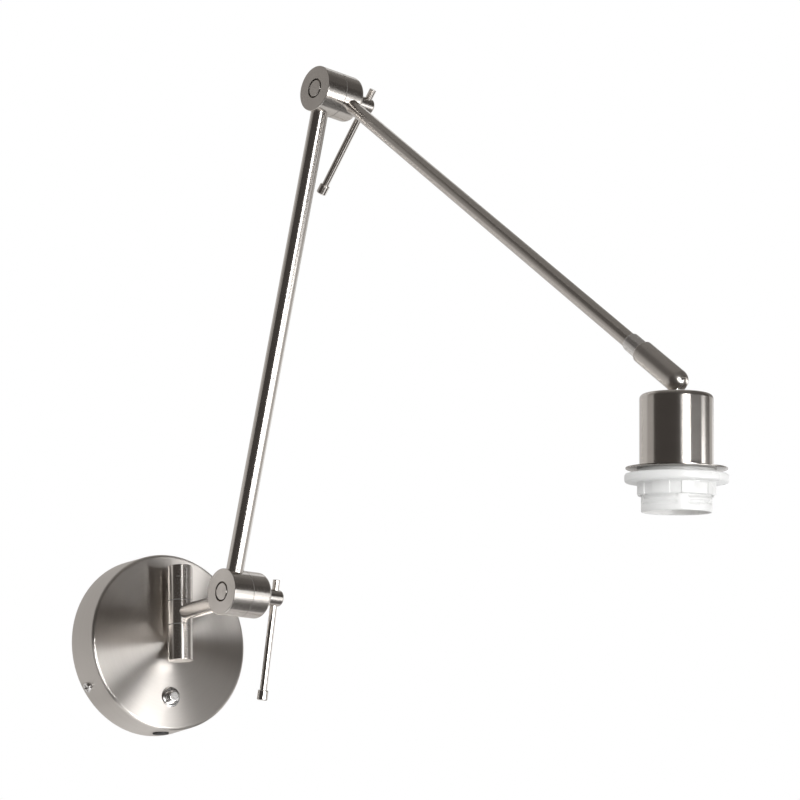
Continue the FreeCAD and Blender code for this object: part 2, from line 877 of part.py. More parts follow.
def holder_screws():
    head = disc(holder_screw_head_radius, floor_high, floor_high + holder_screw_head_height)
    screw = head.fuse(disc(holder_screw_radius, bridge_low, floor_high)).removeSplitter()
    screw = screw.cut(cross_recess(holder_screw_head_radius, floor_high + holder_screw_head_height, 0.8))
    return placed(Part.makeCompound(at_holder_screws(screw)), head_frame)


def screw_shell():
    shell = ring(screw_shell_radius + screw_shell_wall, screw_shell_radius, shell_low,
                 shell_low + screw_shell_length)
    return placed(shell, head_frame)


def centre_contact():
    """Spring tongue: a foot on the block's floor and a blade bent up over the middle."""
    half = contact_length / 2
    low = floor_high
    outline = [Vector(-half, 0, low), Vector(-half / 3, 0, low), Vector(half / 3, 0, low + contact_lift),
               Vector(half * 2 / 3, 0, low + contact_lift),
               Vector(half * 2 / 3, 0, low + contact_lift + contact_thickness),
               Vector(0, 0, low + contact_lift + contact_thickness),
               Vector(-half * 2 / 3, 0, low + contact_thickness), Vector(-half, 0, low + contact_thickness)]
    blade = Part.Face(Part.makePolygon(outline + outline[:1])).extrude(Vector(0, contact_width, 0))
    blade.translate(Vector(0, -contact_width / 2, 0))
    return placed(blade, head_frame)


def side_contact():
    """Flat strip from the block's floor up to the end of the screw shell."""
    half = side_contact_width / 2
    reach = math.sqrt((screw_shell_radius + screw_shell_wall) ** 2 - half ** 2)
    strip = Part.makeBox(side_contact_thickness, side_contact_width, screw_shell_stand,
                         Vector(reach - side_contact_thickness, -half, floor_high))
    return placed(strip, head_frame)


def shade_plate():
    plate = ring(shade_plate_radius, skirt_collar_radius - skirt_collar_wall / 2, cup_bottom, neck_low)
    plate = rounded(plate, edge_break, shade_plate_radius, Vector(0, 0, neck_low))
    collar_room = disc(skirt_collar_radius + fixed_clearance, cup_bottom, neck_low)
    return placed(plate.cut(collar_room), head_frame)


def holder_skirt():
    skirt = joined([disc(skirt_collar_radius - fixed_clearance, cup_bottom - skirt_collar_height, neck_low),
                    disc(skirt_neck_radius, neck_low, neck_high),
                    disc(skirt_thread_radius, neck_high, mouth)])
    skirt = rounded(skirt, edge_break, skirt_thread_radius, Vector(0, 0, mouth))
    inner = skirt_thread_radius - skirt_lip_wall
    cutters = [disc(block_radius + fixed_clearance, 0, mouth), disc(inner, neck_high, mouth)]
    return placed(without(skirt, cutters), head_frame)


def shade_ring():
    flange_end = neck_high + shade_ring_flange
    collar_end_height = flange_end + shade_ring_collar_length
    flange = disc(shade_ring_radius, neck_high, flange_end)
    flange = rounded(flange, shade_ring_round, shade_ring_radius, Vector(0, 0, neck_high))
    flange = rounded(flange, shade_ring_round, shade_ring_radius, Vector(0, 0, flange_end))
    collar = disc(shade_ring_collar_radius, flange_end, collar_end_height)
    collar = rounded(collar, shade_ring_collar_round, shade_ring_collar_radius,
                     Vector(0, 0, collar_end_height))
    wedge = Part.makeCylinder(shade_ring_radius, shade_ring_collar_length, Vector(0, 0, flange_end), UP,
                              shade_ring_grip_angle)
    recess = wedge.cut(disc(shade_ring_collar_radius - shade_ring_grip_depth, neck_high, collar_end_height))
    grips = []
    for i in range(shade_ring_grip_count):
        grip = recess.copy()
        middle = shade_ring_grip_turn + 360.0 * i / shade_ring_grip_count
        grip.rotate(ORIGIN, UP, middle - shade_ring_grip_angle / 2)
        grips.append(grip)
    bore = disc(skirt_thread_radius + shade_ring_clearance, neck_high, collar_end_height)
    return placed(without(joined([flange, collar]), grips + [bore]), head_frame)


# ---------------------------------------------------------------- assembly

def swung(shape):
    """Turns a piece of the linkage from straight out of the wall to its place about the post."""
    copy = shape.copy()
    copy.rotate(post_point, UP, swing_angle)
    return copy


def fixed_nodes():
    makers = (canopy_shell, wall_bracket, rim_screws, cable_grommet, terminal_block, terminal_screws,
              earth_screw, earth_washer, switch_bezel, switch_nut, switch_body, switch_button,
              post_upper, post_lower, post_spindle, post_spacers, post_studs, stud_nuts)
    return {maker.__name__: maker() for maker in makers}


def elbow_nodes():
    lower_lever = clock(lower_lever_clock)
    upper_lever = clock(upper_lever_clock)
    lower_arm_up = lower_arm_direction
    return {
        "lower_rear_knuckle": rear_knuckle(lower_elbow, -OUT, stub_radius),
        "lower_friction_disc": friction_disc(lower_elbow),
        "lower_front_knuckle": front_knuckle(lower_elbow, lower_arm_up, lower_arm_radius),
        "lower_pivot_bolt": pivot_bolt(lower_elbow),
        "upper_front_knuckle": front_knuckle(upper_elbow, -lower_arm_up, lower_arm_radius),
        "upper_pivot_bolt": pivot_bolt(upper_elbow),
        "upper_rear_knuckle": rear_knuckle(upper_elbow, upper_arm_direction, upper_arm_radius),
        "upper_friction_disc": friction_disc(upper_elbow),
        "lower_lever_hub": lever_hub(lower_elbow, lower_lever),
        "lower_lever_rod": lever_rod(lower_elbow, lower_lever),
        "lower_lever_knob": lever_knob(lower_elbow, lower_lever),
        "upper_lever_hub": lever_hub(upper_elbow, upper_lever),
        "upper_lever_rod": lever_rod(upper_elbow, upper_lever),
        "upper_lever_knob": lever_knob(upper_elbow, upper_lever),
    }


def linkage_nodes():
    makers = (swivel_washers, swivel_sleeve, stub_tube, lower_arm_tube, upper_arm_tube, arm_end_collar,
              ball_socket, pressure_pad, ball_spring, ball_stem, stem_washer, stem_nut, cup_shell,
              cup_bridge, contact_block, holder_screws, screw_shell, centre_contact, side_contact,
              shade_plate, holder_skirt, shade_ring)
    return {maker.__name__: maker() for maker in makers}


def main():
    nodes = fixed_nodes()
    for name, shape in {**elbow_nodes(), **linkage_nodes()}.items():
        nodes[name] = swung(shape)
    os.makedirs("parts", exist_ok=True)
    for name, shape in nodes.items():
        shape.exportStep(f"parts/{name}.step")
        print(name, len(shape.Solids), shape.isValid(), round(shape.Volume, 1))


main()
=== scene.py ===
import bpy, bmesh, json, math
from mathutils import Matrix, Vector


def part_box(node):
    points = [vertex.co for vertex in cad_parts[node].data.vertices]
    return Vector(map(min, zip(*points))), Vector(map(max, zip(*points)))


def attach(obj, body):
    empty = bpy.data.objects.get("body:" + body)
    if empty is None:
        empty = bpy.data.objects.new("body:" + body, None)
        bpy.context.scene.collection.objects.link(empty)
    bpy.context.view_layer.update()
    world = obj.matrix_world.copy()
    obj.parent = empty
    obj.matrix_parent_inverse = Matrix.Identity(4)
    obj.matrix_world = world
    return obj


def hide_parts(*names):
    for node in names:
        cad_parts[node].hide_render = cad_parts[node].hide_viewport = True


# Articulating wall lamp. Metres, in the row frame: the canopy's back centre is the origin, +Z is up
# and -Y points from the wall into the room.

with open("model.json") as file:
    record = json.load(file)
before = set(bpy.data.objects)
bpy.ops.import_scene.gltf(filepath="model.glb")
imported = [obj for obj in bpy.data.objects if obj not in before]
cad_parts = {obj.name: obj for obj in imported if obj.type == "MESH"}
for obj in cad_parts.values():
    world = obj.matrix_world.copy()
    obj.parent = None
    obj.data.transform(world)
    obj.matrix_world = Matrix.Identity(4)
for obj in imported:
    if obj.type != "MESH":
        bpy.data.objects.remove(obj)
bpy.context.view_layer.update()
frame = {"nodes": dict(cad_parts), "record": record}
nodes = frame["nodes"]
scene = bpy.context.scene
joints = {j["name"]: j for j in frame["record"]["behaviour"]["joints"]}


def joint_point(name):
    return Vector(joints[name]["pos_m"])


def joint_axis(name):
    return Vector(joints[name]["axis"]).normalized()


def box_middle(name):
    """Middle of a node's box at rest."""
    low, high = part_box(name)
    return (Vector(low) + Vector(high)) / 2


MM = 0.001
WALL_AXIS = Vector((0, -1, 0))
UP = Vector((0, 0, 1))
POST = joint_point("arm_swivel")
LOWER_ELBOW = joint_point("lower_elbow")
UPPER_ELBOW = joint_point("upper_elbow")
BALL = joint_point("head_tilt")
ACROSS = joint_axis("lower_elbow")
STUB_DIR = (LOWER_ELBOW - POST).normalized()
UPPER_ARM_DIR = joint_axis("socket_swivel")
TILT_AXIS = joint_axis("head_tilt")
STEM_DIR = joint_axis("head_turn")
LOWER_ARM_DIR = (UPPER_ELBOW - LOWER_ELBOW).normalized()

# how far the lower arm's line and the levers' lines lie from the elbows' centres, along their axis
LOWER_ARM_OFFSET = -16.25 * MM
LEVER_OFFSET = 22.025 * MM

# ---------------------------------------------------------------- camera

CAMERA_PLACE = (-0.718935, -1.223748, -0.23207)
CAMERA_RIGHT = Vector((0.7926, -0.6085, -0.0378))
CAMERA_FORWARD = Vector((0.5926, 0.7543, 0.2825))
SENSOR_WIDTH = 36.0
LENS = 86.43
CLIP_START = 0.05


def add_camera():
    """Camera at the photograph's place and angle."""
    data = bpy.data.cameras.new("camera")
    data.sensor_width = SENSOR_WIDTH
    data.lens = LENS
    data.clip_start = CLIP_START
    camera = bpy.data.objects.new("camera", data)
    scene.collection.objects.link(camera)
    forward = CAMERA_FORWARD.normalized()
    right = CAMERA_RIGHT.normalized()
    right = (right - forward * right.dot(forward)).normalized()
    turn = Matrix((right, right.cross(forward), -forward)).transposed()
    camera.matrix_world = Matrix.Translation(CAMERA_PLACE) @ turn.to_4x4()
    scene.camera = camera


add_camera()
scene.view_settings.view_transform = "Standard"

# ---------------------------------------------------------------- materials

# sockets of the Mix node when it mixes colours
MIX_FACTOR, MIX_FIRST, MIX_SECOND, MIX_RESULT = 0, 6, 7, 2
# the range that most of a noise lies in
NOISE_LOW, NOISE_HIGH = 0.3, 0.7
BUMP_DISTANCE = 0.0001


class Graph:
    """Material with a short way to add its shader nodes and their links."""

    def __init__(self, name):
        self.material = bpy.data.materials.new(name)
        self.material.use_nodes = True
        self.tree = self.material.node_tree
        self.shader = self.tree.nodes["Principled BSDF"]

    def add(self, kind, inputs=(), **settings):
        node = self.tree.nodes.new(kind)
        for name, value in settings.items():
            setattr(node, name, value)
        for key, value in dict(inputs).items():
            self.put(node.inputs[key], value)
        return node

    def put(self, socket, value):
        if isinstance(value, bpy.types.NodeSocket):
            self.tree.links.new(value, socket)
        else:
            socket.default_value = value

    def surface(self, name, value):
        self.put(self.shader.inputs[name], value)

    def math(self, operation, *values):
        return self.add("ShaderNodeMath", enumerate(values), operation=operation).outputs[0]

    def vector(self, operation, *values):
        node = self.add("ShaderNodeVectorMath", enumerate(values), operation=operation)
        return node.outputs["Value" if operation in ("DOT_PRODUCT", "LENGTH") else "Vector"]

    def scaled(self, vector, factor):
        inputs = {"Vector": vector, "Scale": factor}
        return self.add("ShaderNodeVectorMath", inputs, operation="SCALE").outputs[0]

    def noise(self, vector, scale, detail, **extra):
        """Noise in three dimensions, or in four where W is given."""
        inputs = {"Vector": vector, "Scale": scale, "Detail": detail, **extra}
        dimensions = "4D" if "W" in extra else "3D"
        return self.add("ShaderNodeTexNoise", inputs, noise_dimensions=dimensions).outputs["Fac"]

    def span(self, noise, low, high):
        """Value that goes from low to high with a noise."""
        inputs = {"Value": noise, "From Min": NOISE_LOW, "From Max": NOISE_HIGH,
                  "To Min": low, "To Max": high}
        return self.add("ShaderNodeMapRange", inputs).outputs["Result"]

    def blend(self, noise, first, second):
        """Colour that goes from the first to the second with a noise."""
        inputs = {MIX_FACTOR: self.span(noise, 0.0, 1.0),
                  MIX_FIRST: (*first, 1.0),
                  MIX_SECOND: (*second, 1.0)}
        return self.add("ShaderNodeMix", inputs, data_type="RGBA").outputs[MIX_RESULT]

    def place(self):
        return self.add("ShaderNodeTexCoord").outputs["Object"]

    def bump(self, height, strength):
        inputs = {"Height": height, "Strength": strength, "Distance": BUMP_DISTANCE}
        return self.add("ShaderNodeBump", inputs).outputs["Normal"]


NICKEL_LIGHT = (0.70, 0.665, 0.63)
NICKEL_DARK = (0.655, 0.62, 0.585)
LINE_TURN = 1.6         # how fast the fine lines change round the piece
BAND_TURN = 0.7         # the same for the wider bands
BAND_GRAIN = 0.12       # grain of the bands against that of the lines
SMUDGE_SCALE = 38.0
SMUDGE_SHARE = 0.6      # of the spread in roughness
TURNED_BUMP = 0.003
QUARTER_TURN = 0.25


def nickel(name, point, axis, roughness=0.26, spread=0.012, stretch=0.75, grain=1500.0):
    """Brushed nickel with a fine turned grain that runs round an axis of the piece."""
    g = Graph(name)
    place = g.place()
    offset = g.vector("SUBTRACT", place, tuple(point))
    along = g.vector("DOT_PRODUCT", offset, tuple(axis))
    axial = g.scaled(tuple(axis), along)
    radial = g.vector("SUBTRACT", offset, axial)
    radius = g.vector("LENGTH", radial)
    facing = g.vector("NORMALIZE", radial)
    around = g.vector("CROSS_PRODUCT", tuple(axis), facing)
    world_around = g.add("ShaderNodeVectorTransform", {"Vector": around}, vector_type="VECTOR",
                         convert_from="OBJECT", convert_to="WORLD").outputs[0]

    def turned_noise(turn, scale, detail):
        spot = g.vector("ADD", g.scaled(facing, turn), g.scaled(axial, scale))
        return g.noise(spot, 1.0, detail, W=g.math("MULTIPLY", radius, scale))

    lines = turned_noise(LINE_TURN, grain, 3.0)
    bands = turned_noise(BAND_TURN, grain * BAND_GRAIN, 2.0)
    smudge = g.noise(place, SMUDGE_SCALE, 4.0)
    tone = g.math("MULTIPLY_ADD", bands, 0.5, g.math("MULTIPLY", lines, 0.5))
    g.surface("Base Color", g.blend(tone, NICKEL_DARK, NICKEL_LIGHT))
    g.surface("Metallic", 1.0)
    g.surface("Roughness", g.math("ADD", g.span(lines, roughness - spread, roughness + spread),
                                  g.span(smudge, -spread * SMUDGE_SHARE, spread * SMUDGE_SHARE)))
    g.surface("Anisotropic", stretch)
    g.surface("Anisotropic Rotation", QUARTER_TURN)
    g.surface("Tangent", world_around)
    g.surface("Normal", g.bump(lines, TURNED_BUMP))
    return g.material


def clouded(name, light, dark, roughness, spread, metallic, cloud_scale, cloud_detail, fine_scale, bump):
    """Surface whose colour and roughness change in soft clouds, with a fine bump."""
    g = Graph(name)
    place = g.place()
    cloud = g.noise(place, cloud_scale, cloud_detail)
    fine = g.noise(place, fine_scale, 3.0)
    g.surface("Base Color", g.blend(cloud, dark, light))
    g.surface("Metallic", metallic)
    g.surface("Roughness", g.span(cloud, roughness - spread, roughness + spread))
    g.surface("Normal", g.bump(fine, bump))
    return g.material


def plain_metal(name, light, dark, roughness, spread):
    return clouded(name, light, dark, roughness, spread, metallic=1.0, cloud_scale=160.0, cloud_detail=4.0,
                   fine_scale=1440.0, bump=0.03)


def moulded(name, light, dark, roughness, spread, bump=0.04):
    return clouded(name, light, dark, roughness, spread, metallic=0.0, cloud_scale=45.0, cloud_detail=3.0,
                   fine_scale=2520.0, bump=bump)


def finish(material, *names):
    for name in names:
        for material_slot in nodes[name].material_slots:
            material_slot.material = material


canopy_nickel = nickel("nickel_canopy", (0, 0, 0), WALL_AXIS, roughness=0.30, stretch=0.98, grain=1100.0,
                       spread=0.005)
post_nickel = nickel("nickel_post", POST, UP)
stub_nickel = nickel("nickel_stub", POST, STUB_DIR)
lower_elbow_nickel = nickel("nickel_lower_elbow", LOWER_ELBOW, ACROSS)
upper_elbow_nickel = nickel("nickel_upper_elbow", UPPER_ELBOW, ACROSS)
lower_arm_nickel = nickel("nickel_lower_arm", LOWER_ELBOW + ACROSS * LOWER_ARM_OFFSET, LOWER_ARM_DIR,
                          roughness=0.20, stretch=0.4)
upper_arm_nickel = nickel("nickel_upper_arm", BALL, UPPER_ARM_DIR, roughness=0.20, stretch=0.4)
socket_nickel = nickel("nickel_socket", BALL, UPPER_ARM_DIR, roughness=0.29, stretch=0.6)
head_nickel = nickel("nickel_head", BALL, STEM_DIR, roughness=0.21, stretch=0.6)
chrome = plain_metal("chrome", (0.84, 0.83, 0.82), (0.78, 0.77, 0.76), 0.09, 0.03)
satin = plain_metal("satin_steel", (0.84, 0.825, 0.81), (0.78, 0.765, 0.75), 0.25, 0.04)
# Painted shade: the shade plate gets a copy of the nickel made darker, to paint in the dark edge that
# shade gives it.
plate_nickel_painted_shade = plain_metal("plate_nickel_painted_shade", (0.46, 0.435, 0.41), (0.40, 0.38, 0.36), 0.24, 0.04)
zinc = plain_metal("zinc", (0.70, 0.71, 0.73), (0.58, 0.59, 0.62), 0.38, 0.08)
brass = plain_metal("brass", (0.80, 0.64, 0.34), (0.70, 0.54, 0.26), 0.27, 0.06)
white = moulded("white_plastic", (0.88, 0.88, 0.87), (0.84, 0.84, 0.83), 0.30, 0.05)
black = moulded("black_plastic", (0.035, 0.035, 0.036), (0.022, 0.022, 0.023), 0.48, 0.08)
rubber = moulded("black_rubber", (0.026, 0.025, 0.024), (0.015, 0.015, 0.014), 0.62, 0.08, bump=0.12)
bearing = moulded("bearing_plastic", (0.26, 0.25, 0.24), (0.20, 0.19, 0.18), 0.5, 0.06)

finish(canopy_nickel, "canopy_shell")
finish(post_nickel, "post_upper", "post_lower", "swivel_sleeve")
finish(stub_nickel, "stub_tube")
finish(lower_elbow_nickel, "lower_rear_knuckle", "lower_front_knuckle", "lower_pivot_bolt",
       "lower_lever_hub")
finish(upper_elbow_nickel, "upper_rear_knuckle", "upper_front_knuckle", "upper_pivot_bolt",
       "upper_lever_hub")
finish(lower_arm_nickel, "lower_arm_tube")
finish(upper_arm_nickel, "upper_arm_tube")
finish(socket_nickel, "ball_socket")
finish(satin, "arm_end_collar", "ball_stem", "switch_button")
finish(head_nickel, "cup_shell")
finish(plate_nickel_painted_shade, "shade_plate")
finish(chrome, "switch_bezel", "rim_screws")
finish(zinc, "wall_bracket", "post_spindle", "post_studs", "stud_nuts", "switch_nut", "stem_washer",
       "stem_nut", "cup_bridge", "holder_screws", "ball_spring")
finish(brass, "terminal_screws", "earth_screw", "earth_washer", "centre_contact", "side_contact",
       "screw_shell")
finish(white, "contact_block", "terminal_block", "holder_skirt", "shade_ring")
finish(black, "switch_body")
finish(rubber, "cable_grommet")
finish(bearing, "swivel_washers", "lower_friction_disc", "upper_friction_disc", "pressure_pad")


def lever_axis(rod_name, elbow):
    """Direction of a lever's rod, from its hub to its knob."""
    offset = box_middle(rod_name) - elbow
    return (offset - ACROSS * offset.dot(ACROSS)).normalized()


for side, elbow in (("lower", LOWER_ELBOW), ("upper", UPPER_ELBOW)):
    rod = side + "_lever_rod"
    rod_nickel = nickel("nickel_" + side + "_lever", elbow + ACROSS * LEVER_OFFSET, lever_axis(rod, elbow),
                        roughness=0.18, stretch=0.4)
    finish(rod_nickel, rod, side + "_lever_knob")

spacer_nickel = nickel("nickel_spacers", (0, 0, box_middle("post_spacers").z), WALL_AXIS)
finish(spacer_nickel, "post_spacers")

# ---------------------------------------------------------------- lampholder, with its real relief
# Sections are in millimetres, as (radius, height). Heights run along the stem from the ball's centre.

SKIRT_START = 44.1
NECK_START = 50.0
NECK_END = 52.6
MOUTH = 73.9
SKIRT_RADIUS = 19.44
NECK_RADIUS = 22.0
NECK_EDGE = 0.3
SKIRT_BORE = 17.02
MOUTH_BORE = 18.4

THREAD_RADIUS = 19.6
THREAD_PITCH = 3.4
THREAD_DEPTH = 0.75
THREAD_START = 54.0
THREAD_END = 70.9
THREAD_FADE = 1.2
THREAD_STEPS = 84
CREST_SLOPE = 3.2       # steepness of the flanks
CREST_DROP = 0.3        # keeps the root round the thread level
PAD_ANGLE = math.radians(127.5)
PAD_HALF_ANGLE = math.radians(9.0)
PAD_RAMP = math.radians(1.2)
# rows of points that carry the thread
ROWS_START, ROWS_END = 53.2, 71.4
# rounded lip of the mouth, inwards from the thread's radius and back from the mouth
LIP = [(0.0, 0.6), (0.1, 0.25), (0.35, 0.05), (0.6, 0.0), (0.85, 0.05), (1.1, 0.25), (1.18, 0.6)]
MOUTH_BORE_START = 66.0

RING_RADIUS = 28.8
RING_BORE = 19.9
RING_FLANGE_END = 57.6
COLLAR_RADIUS = 21.9
RING_END = 64.8
RECESS_ANGLE = math.radians(139.0)
RECESS_HALF_ANGLE = math.radians(9.0)
RECESS_RAMP = math.radians(1.0)
RECESS_DEPTH = 0.75
RECESS_START = 58.2
RECESS_INNER = 21.0

SHELL_OUTER = 13.72
SHELL_INNER = 13.37
SHELL_START = 45.05
SHELL_LENGTH = 17.9
SHELL_PITCH = 3.63
SHELL_DEPTH = 0.55
SHELL_STEPS = 72
SHELL_FADE_START = 45.3
SHELL_FADE_IN = 1.5
SHELL_FADE_END = 62.6
SHELL_FADE_OUT = 1.0

TOLERANCE = 0.01


def smooth(value):
    """Soft step from 0 to 1."""
    value = min(max(value, 0.0), 1.0)
    return value * value * (3 - 2 * value)


def mesh_object(name, mesh, material):
    """Object from a mesh in the making."""
    data = bpy.data.meshes.new(name)
    mesh.to_mesh(data)
    mesh.free()
    data.materials.append(material)
    piece = bpy.data.objects.new(name, data)
    scene.collection.objects.link(piece)
    return piece


def holder_piece(name, node, material, section, segments, shape, sharp):
    """Solid of revolution that stands for a node; shape gives each point's radius at its angle."""
    other = STEM_DIR.cross(TILT_AXIS)
    mesh = bmesh.new()
    rings = []
    for i in range(segments):
        angle = 2 * math.pi * i / segments
        out = TILT_AXIS * math.cos(angle) + other * math.sin(angle)
        row = []
        for radius, height in section:
            spot = BALL + STEM_DIR * (height * MM) + out * (shape(radius, height, angle) * MM)
            row.append(mesh.verts.new(spot))
        rings.append(row)
    count = len(section)
    for i in range(segments):
        this, following = rings[i], rings[(i + 1) % segments]
        for j in range(count):
            k = (j + 1) % count
            mesh.faces.new((this[j], this[k], following[k], following[j]))
    bmesh.ops.recalc_face_normals(mesh, faces=mesh.faces)
    piece = mesh_object(name, mesh, material)
    for face in piece.data.polygons:
        face.use_smooth = True
    piece.data.set_sharp_from_angle(angle=math.radians(sharp))
    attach(piece, "lamp_head")
    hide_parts(node)


def angle_from(angle, middle, step):
    """Signed distance of an angle from the nearest of the middles that repeat every step."""
    turn = (angle - middle) % step
    return turn - step if turn > step / 2 else turn


def helix_phase(height, pitch, angle):
    return (height / pitch - angle / (2 * math.pi)) % 1.0


def thread_shape(radius, height, angle):
    """Round outer thread that fades at its ends and stops at four smooth pads."""
    if radius < THREAD_RADIUS - TOLERANCE or not THREAD_START <= height <= THREAD_END:
        return radius
    from_root = 0.5 - abs(helix_phase(height, THREAD_PITCH, angle) - 0.5)
    crest = smooth(from_root * CREST_SLOPE - CREST_DROP)
    fade = smooth((height - THREAD_START) / THREAD_FADE) * smooth((THREAD_END - height) / THREAD_FADE)
    pad = smooth((abs(angle_from(angle, PAD_ANGLE, math.pi / 2)) - PAD_HALF_ANGLE) / PAD_RAMP)
    return radius - THREAD_DEPTH * (1 - crest) * fade * pad


def grip_shape(radius, height, angle):
    """Eight wide shallow recesses round the shade ring's collar."""
    if height < RECESS_START or radius < RECESS_INNER:
        return radius
    edge = RECESS_HALF_ANGLE - abs(angle_from(angle, RECESS_ANGLE, math.pi / 4))
    return radius - RECESS_DEPTH * smooth(edge / RECESS_RAMP)


def shell_shape(radius, height, angle):
    """Rolled lamp thread: both faces of the thin shell follow one helix, which fades at its ends."""
    wave = 0.5 + 0.5 * math.cos(2 * math.pi * helix_phase(height, SHELL_PITCH, angle))
    fade_in = smooth((height - SHELL_FADE_START) / SHELL_FADE_IN)
    fade_out = smooth((SHELL_FADE_END - height) / SHELL_FADE_OUT)
    return radius - SHELL_DEPTH * wave * fade_in * fade_out


skirt_section = [(SKIRT_RADIUS, SKIRT_START), (SKIRT_RADIUS, NECK_START),
                 (NECK_RADIUS - NECK_EDGE, NECK_START), (NECK_RADIUS, NECK_START + NECK_EDGE),
                 (NECK_RADIUS, NECK_END - NECK_EDGE), (NECK_RADIUS - NECK_EDGE, NECK_END),
                 (THREAD_RADIUS, NECK_END)]
skirt_section += [(THREAD_RADIUS, ROWS_START + (ROWS_END - ROWS_START) * i / THREAD_STEPS)
                  for i in range(THREAD_STEPS + 1)]
skirt_section += [(THREAD_RADIUS - inwards, MOUTH - back) for inwards, back in LIP]
skirt_section += [(MOUTH_BORE, MOUTH_BORE_START), (MOUTH_BORE, NECK_END), (SKIRT_BORE, NECK_END),
                  (SKIRT_BORE, SKIRT_START)]
holder_piece("lampholder_skirt", "holder_skirt", white, skirt_section, 192, thread_shape, sharp=50)

ring_section = [(RING_BORE, NECK_END), (RING_RADIUS - 1.2, NECK_END), (RING_RADIUS - 0.6, NECK_END + 0.15),
                (RING_RADIUS - 0.2, NECK_END + 0.6), (RING_RADIUS, NECK_END + 1.2),
                (RING_RADIUS, RING_FLANGE_END - 1.3), (RING_RADIUS - 0.2, RING_FLANGE_END - 0.65),
                (RING_RADIUS - 0.6, RING_FLANGE_END - 0.2), (RING_RADIUS - 1.2, RING_FLANGE_END),
                (COLLAR_RADIUS + 0.6, RING_FLANGE_END), (COLLAR_RADIUS + 0.2, RING_FLANGE_END + 0.15),
                (COLLAR_RADIUS, RING_FLANGE_END + 0.5), (COLLAR_RADIUS, RING_FLANGE_END + 1.0),
                (COLLAR_RADIUS, RING_END - 0.8), (COLLAR_RADIUS - 0.15, RING_END - 0.3),
                (COLLAR_RADIUS - 0.5, RING_END), (RING_BORE + 0.2, RING_END), (RING_BORE, RING_END - 0.2)]
holder_piece("shade_clamp_ring", "shade_ring", white, ring_section, 720, grip_shape, sharp=35)

shell_heights = [SHELL_START + SHELL_LENGTH * i / SHELL_STEPS for i in range(SHELL_STEPS + 1)]
shell_section = [(SHELL_OUTER, height) for height in shell_heights]
shell_section += [(SHELL_INNER, height) for height in reversed(shell_heights)]
holder_piece("lamp_screw_shell", "screw_shell", brass, shell_section, 128, shell_shape, sharp=60)

# ---------------------------------------------------------------- studio
# Azimuths and elevations are in degrees, seen from the object. Azimuth runs from -Y towards -X.

CENTRE = Vector((0.02, -0.27, 0.15))
FULL_WHITE = (1.0, 1.0, 1.0, 1.0)
SURROUND_STRENGTH = 0.52
BACKDROP_STRENGTH = 1.0
SOFTBOX_DISTANCE = 2.5
CARD_RADIUS = 2.8
CARD_STEPS = 16
WALL_CARD_RADIUS = 0.22
WALL_CARD_PLACE = 0.002     # just behind the wall's plane
FLOOR_SIZE = 6.0
FLOOR_HEIGHT = -2.6
FLOOR_LIFT = 0.6

DARK = (0.066, 0.060, 0.056)
SHADE = (0.11, 0.102, 0.096)
DIM = (0.22, 0.209, 0.198)
MIDDLE = (0.30, 0.287, 0.275)
GREY = (0.43, 0.415, 0.40)
SOFT = (0.54, 0.525, 0.51)
LIGHT = (0.60, 0.585, 0.57)
WHITE = (1.05, 1.05, 1.05)

# name, azimuth, elevation, width, height, power
SOFTBOXES = (
    ("softbox_front", 13, -12, 1.25, 1.02, 17.0),
    ("softbox_low", -22, -31, 1.25, 1.48, 14.0),
    ("softbox_left", 62, 20, 1.50, 1.40, 15.0),
    ("softbox_right", -53, 43, 1.50, 1.40, 12.0))

# name, azimuths, elevations, colour
CARDS = (
    ("card_left", (28, 115), (-60, 32), DARK),
    ("card_left_high", (28, 115), (32, 62), SHADE),
    ("card_front_top", (-72, 28), (2, 27), DARK),
    ("card_front_high", (-72, 28), (27, 62), SHADE),
    ("card_front", (-42, 2), (-14, 2), DARK),
    ("card_front_low", (-8, 28), (-60, -20), DARK),
    ("card_strip", (-72, -50), (-26, 2), SOFT),
    ("card_right_near", (-92, -72), (-26, 12), SOFT),
    ("card_right_far", (-130, -92), (-26, 12), WHITE),
    ("card_right_top", (-116, -72), (12, 62), DIM),
    ("card_right_low", (-115, -45), (-68, -26), DARK),
    ("card_right_back", (-145, -115), (-60, -28), LIGHT),
    ("card_back_left", (115, 145), (-30, 16), GREY),
    ("card_back_high", (115, 145), (16, 62), MIDDLE),
    ("card_back", (145, 230), (-30, 62), LIGHT),
    ("card_top", (0, 360), (62, 90), DIM))

# bright cards in front of the others: name, azimuths, elevations, distance, brightness
PANELS = (
    ("panel_front", (5, 20), (-23, -1), 2.4, 13.0),
    ("panel_strip", (-41, -29), (-37, -5), 0.92, 3.0),
    ("panel_low", (-33, -10), (-40, -17), 2.4, 8.5))


def toward(azimuth, elevation):
    """Direction from the object."""
    azimuth, elevation = math.radians(azimuth), math.radians(elevation)
    return Vector((-math.sin(azimuth) * math.cos(elevation), -math.cos(azimuth) * math.cos(elevation),
                   math.sin(elevation)))


def emitter(name, colour):
    """Material that only gives off light."""
    material = bpy.data.materials.new(name)
    material.use_nodes = True
    tree = material.node_tree
    tree.nodes.clear()
    output = tree.nodes.new("ShaderNodeOutputMaterial")
    emission = tree.nodes.new("ShaderNodeEmission")
    emission.inputs["Color"].default_value = (*colour, 1.0)
    emission.inputs["Strength"].default_value = 1.0
    tree.links.new(emission.outputs[0], output.inputs["Surface"])
    return material


def seen_by_eye(tree):
    """1 for camera, glossy and transmission rays, and 0 for the light that falls on the object."""
    path = tree.nodes.new("ShaderNodeLightPath")
    total = path.outputs["Is Camera Ray"]
    for name in ("Is Glossy Ray", "Is Transmission Ray"):
        step = tree.nodes.new("ShaderNodeMath")
        step.operation = "MAXIMUM"
        tree.links.new(total, step.inputs[0])
        tree.links.new(path.outputs[name], step.inputs[1])
        total = step.outputs[0]
    return total


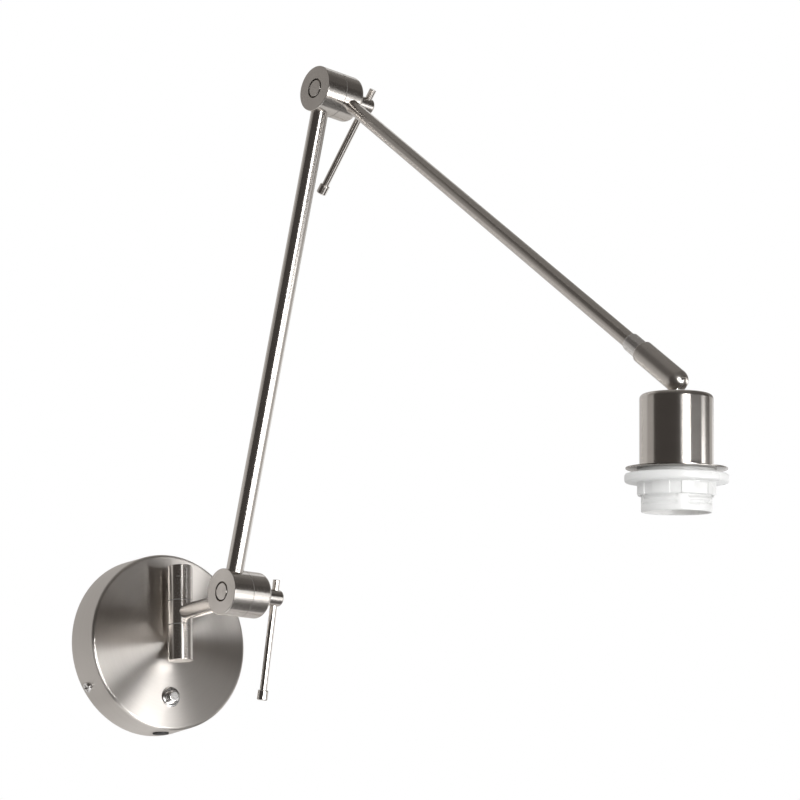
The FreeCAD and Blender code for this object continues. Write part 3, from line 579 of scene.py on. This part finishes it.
def add_world():
    """White behind the object, and a softer even light on it."""
    world = bpy.data.worlds.new("studio")
    scene.world = world
    world.use_nodes = True
    tree = world.node_tree
    tree.nodes.clear()
    mix = tree.nodes.new("ShaderNodeMixShader")
    tree.links.new(seen_by_eye(tree), mix.inputs[0])
    for socket, strength in ((1, SURROUND_STRENGTH), (2, BACKDROP_STRENGTH)):
        background = tree.nodes.new("ShaderNodeBackground")
        background.inputs["Color"].default_value = FULL_WHITE
        background.inputs["Strength"].default_value = strength
        tree.links.new(background.outputs[0], mix.inputs[socket])
    output = tree.nodes.new("ShaderNodeOutputWorld")
    tree.links.new(mix.outputs[0], output.inputs["Surface"])


def softbox(name, azimuth, elevation, width, height, power):
    """Light for the matt surfaces, which the metal doesn't mirror."""
    data = bpy.data.lights.new(name, "AREA")
    data.shape = "RECTANGLE"
    data.size = width
    data.size_y = height
    data.energy = power
    light = bpy.data.objects.new(name, data)
    scene.collection.objects.link(light)
    position = CENTRE + toward(azimuth, elevation) * SOFTBOX_DISTANCE
    turn = (CENTRE - position).to_track_quat("-Z", "Y").to_matrix().to_4x4()
    light.matrix_world = Matrix.Translation(position) @ turn
    light.visible_camera = False
    light.visible_glossy = False


def reflected_only(name, mesh, colour):
    """Studio card that only reflections see."""
    piece = mesh_object(name, mesh, emitter(name, colour))
    piece.visible_camera = False
    piece.visible_diffuse = False
    piece.visible_shadow = False
    piece.visible_transmission = False


def card(name, azimuths, elevations, radius, colour):
    """Curved card round the object, as a patch of a sphere."""
    mesh = bmesh.new()
    grid = []
    for i in range(CARD_STEPS + 1):
        azimuth = azimuths[0] + (azimuths[1] - azimuths[0]) * i / CARD_STEPS
        column = []
        for j in range(CARD_STEPS + 1):
            elevation = elevations[0] + (elevations[1] - elevations[0]) * j / CARD_STEPS
            column.append(mesh.verts.new(CENTRE + toward(azimuth, elevation) * radius))
        grid.append(column)
    for a, b in zip(grid, grid[1:]):
        for j in range(CARD_STEPS):
            mesh.faces.new((a[j], b[j], b[j + 1], a[j + 1]))
    reflected_only(name, mesh, colour)


def wall_card():
    """Pale wall round the canopy, for its rim and the lower elbow."""
    mesh = bmesh.new()
    bmesh.ops.create_circle(mesh, cap_ends=True, segments=64, radius=WALL_CARD_RADIUS)
    for corner in mesh.verts:
        corner.co = Vector((corner.co.x, WALL_CARD_PLACE, corner.co.y))
    reflected_only("card_wall", mesh, LIGHT)


def add_floor():
    """Pale floor, lifted towards white where it is seen."""
    g = Graph("floor")
    g.surface("Base Color", (0.86, 0.86, 0.86, 1.0))
    g.surface("Roughness", 0.9)
    g.surface("Emission Color", FULL_WHITE)
    g.surface("Emission Strength", g.math("MULTIPLY", seen_by_eye(g.tree), FLOOR_LIFT))
    mesh = bmesh.new()
    bmesh.ops.create_grid(mesh, x_segments=1, y_segments=1, size=FLOOR_SIZE)
    floor = mesh_object("floor", mesh, g.material)
    floor.location = (0, 0, FLOOR_HEIGHT)


add_world()
for box in SOFTBOXES:
    softbox(*box)
for name, azimuths, elevations, colour in CARDS:
    card(name, azimuths, elevations, CARD_RADIUS, colour)
for name, azimuths, elevations, distance, brightness in PANELS:
    card(name, azimuths, elevations, distance, (brightness, brightness, brightness))
wall_card()
add_floor()
